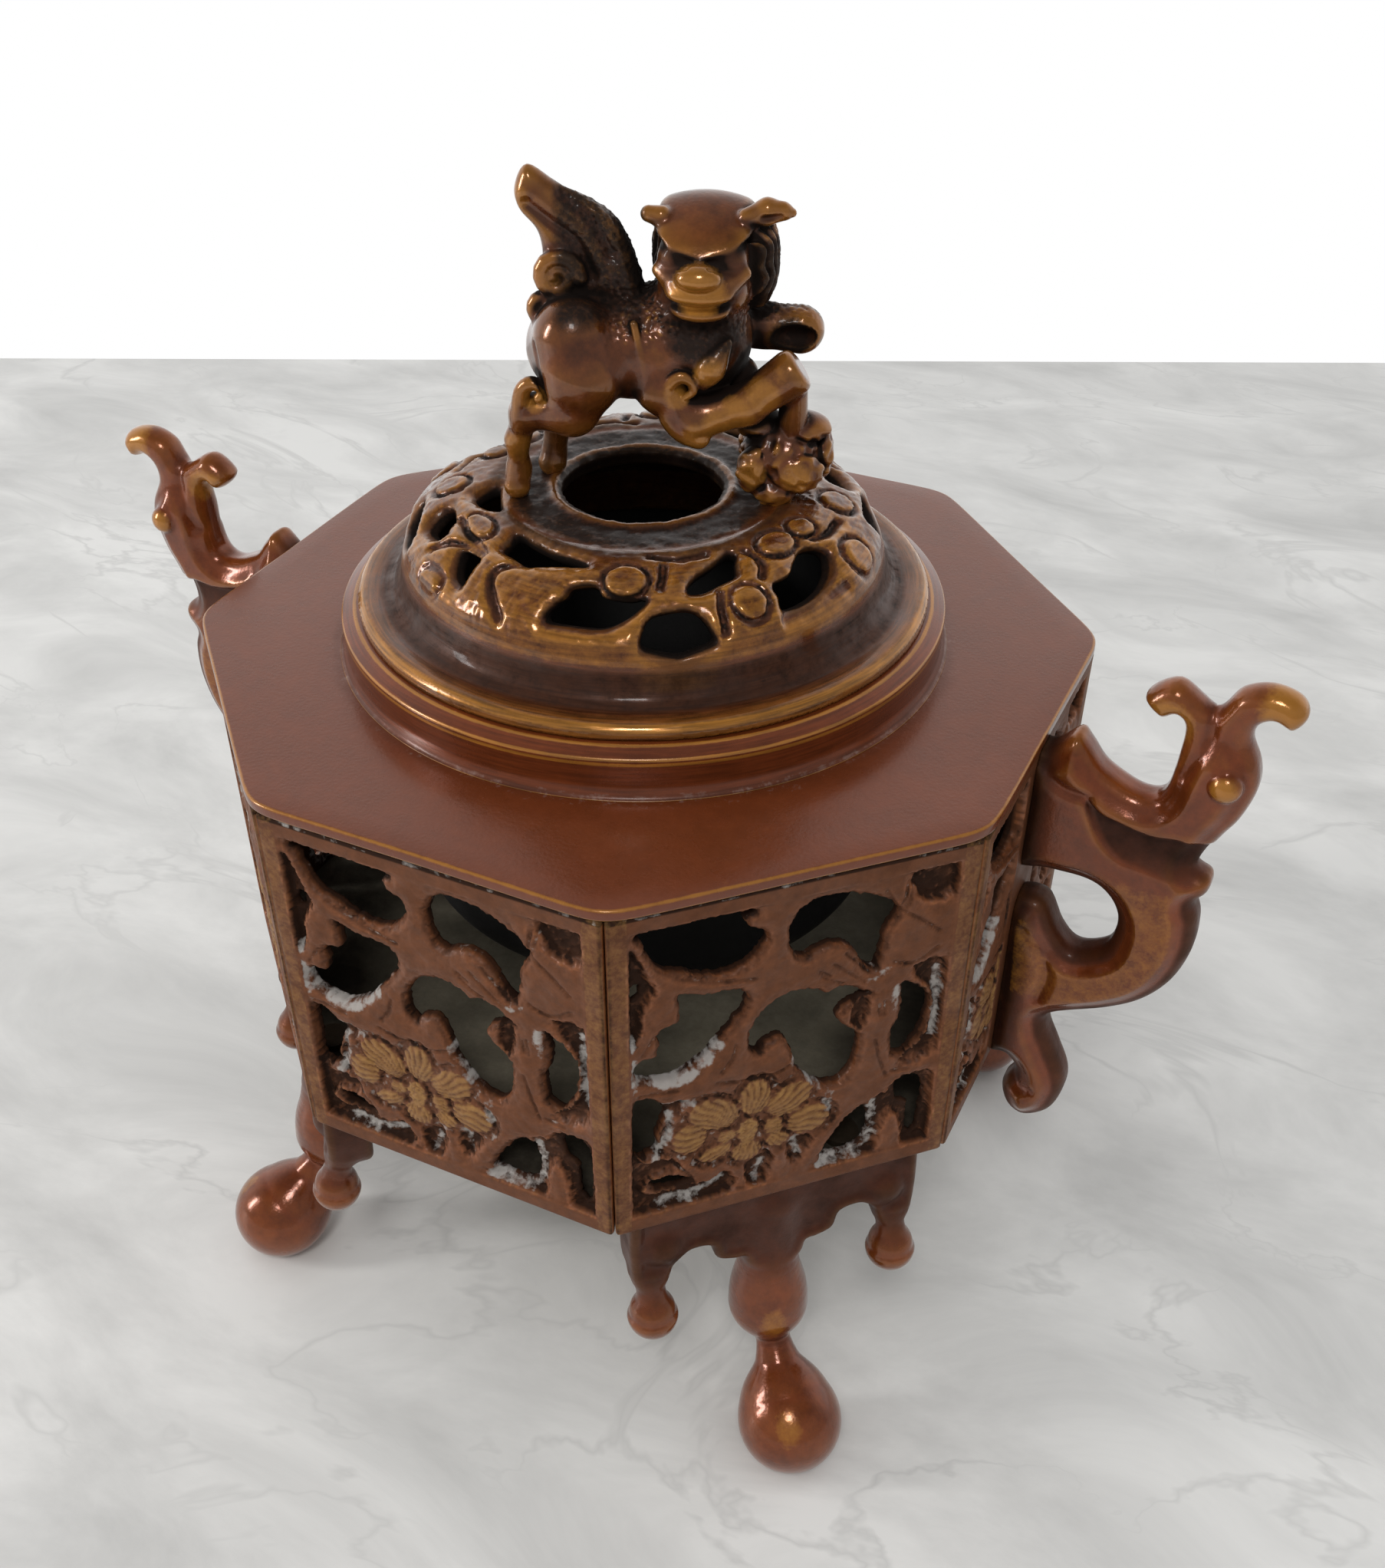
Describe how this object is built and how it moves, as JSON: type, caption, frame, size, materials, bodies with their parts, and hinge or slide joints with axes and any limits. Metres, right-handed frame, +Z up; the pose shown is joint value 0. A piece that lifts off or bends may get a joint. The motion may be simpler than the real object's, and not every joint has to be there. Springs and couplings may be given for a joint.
{
  "type": "lion incense burner",
  "caption": "Octagonal bronze incense burner with pierced scroll panels, bulb feet, scroll handles, a hanging fire bowl and a pierced lid whose knob is a standing lion over the smoke vent.",
  "frame": {"origin": "on the floor, on the burner's vertical axis", "axes": "+Z up, +X and -X towards the two handles, -Y towards the front panel"},
  "size_m": [0.174, 0.1146, 0.1645],
  "materials": {
    "plate_bronze": "red-brown patinated bronze, satin",
    "panel_bronze": "red-brown patinated bronze with worn brass-yellow edges and pale deposits in the recesses",
    "cast_bronze": "glossy red-brown patinated bronze with golden worn tips",
    "lid_bronze": "golden worn bronze over near-black recesses",
    "lion_bronze": "golden-brown worn bronze with dark recesses",
    "sooty_bronze": "dull sooty bronze",
    "rivet_brass": "dull brass"
  },
  "bodies": {
    "burner": {"top_plate": "plate_bronze", "collar_ring": "plate_bronze", "panel_right": "panel_bronze", "panel_back_right": "panel_bronze", "panel_back": "panel_bronze", "panel_back_left": "panel_bronze", "panel_left": "panel_bronze", "panel_front_left": "panel_bronze", "panel_front": "panel_bronze", "panel_front_right": "panel_bronze", "base_plate": "plate_bronze", "foot_front_right": "cast_bronze", "foot_back_right": "cast_bronze", "foot_back_left": "cast_bronze", "foot_front_left": "cast_bronze", "handle_right": "cast_bronze", "handle_left": "cast_bronze", "handle_rivets": "rivet_brass", "foot_rivets": "rivet_brass"},
    "bowl": {"fire_bowl": "sooty_bronze"},
    "lid": {"lid": "lid_bronze", "lion_finial": "lion_bronze", "lion_pins": "rivet_brass"}
  },
  "joints": [
    {"name": "bowl_lift", "type": "slide", "parent": "burner", "child": "bowl", "axis": [0, 0, 1], "range_m": [0, 0.06]},
    {"name": "lid_lift", "type": "slide", "parent": "bowl", "child": "lid", "axis": [0, 0, 1], "range_m": [0, 0.06]}
  ]
}
